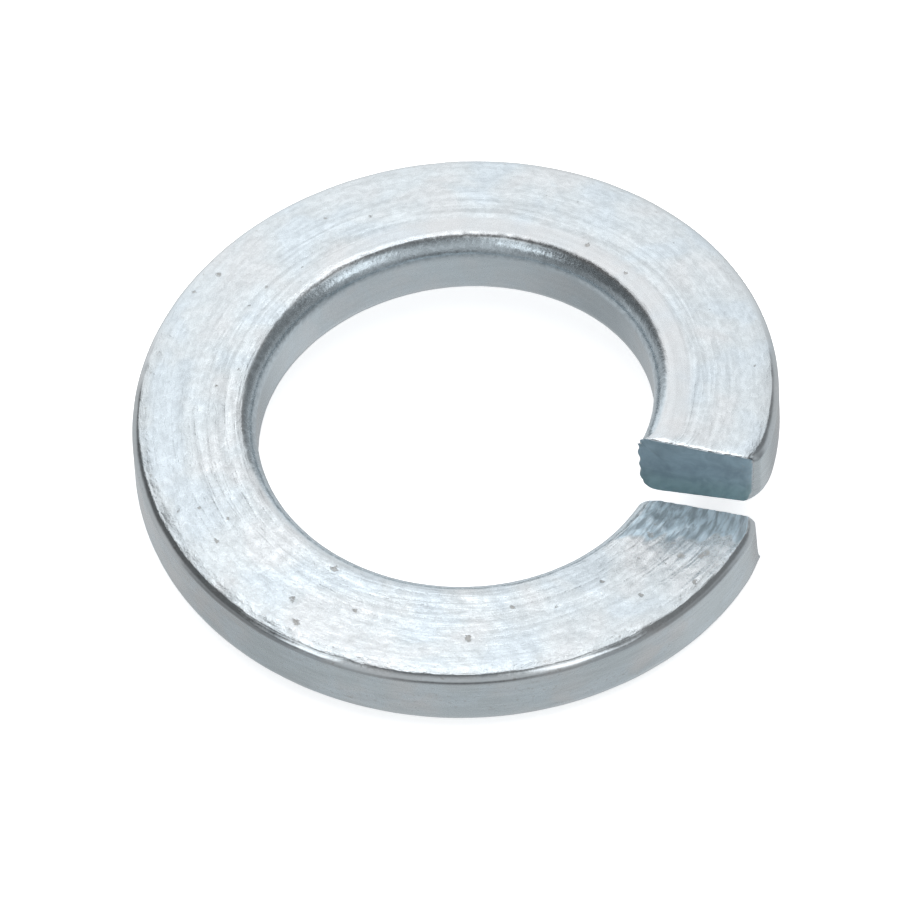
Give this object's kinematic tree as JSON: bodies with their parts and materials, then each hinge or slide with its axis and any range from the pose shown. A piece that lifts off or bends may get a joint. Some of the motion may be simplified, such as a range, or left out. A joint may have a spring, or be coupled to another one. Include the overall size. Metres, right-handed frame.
{
  "type": "spring lock washer",
  "caption": "Split helical spring lock washer: a flat ring of rounded band wound a single turn, its sheared ends stepped apart.",
  "frame": {"origin": "on the coil's axis, level with the lowest point of the lower cut end", "axes": "+Z along the bore axis, from the lower end toward the upper end; +X through the cut; the coil climbs clockwise seen from above"},
  "size_m": [0.0204, 0.0205, 0.0051],
  "materials": {
    "zinc_plated_spring_steel": "bright zinc plating, satin on the faces and smoother on the roundings"
  },
  "bodies": {
    "root": {"washer": "zinc_plated_spring_steel"}
  },
  "joints": []
}
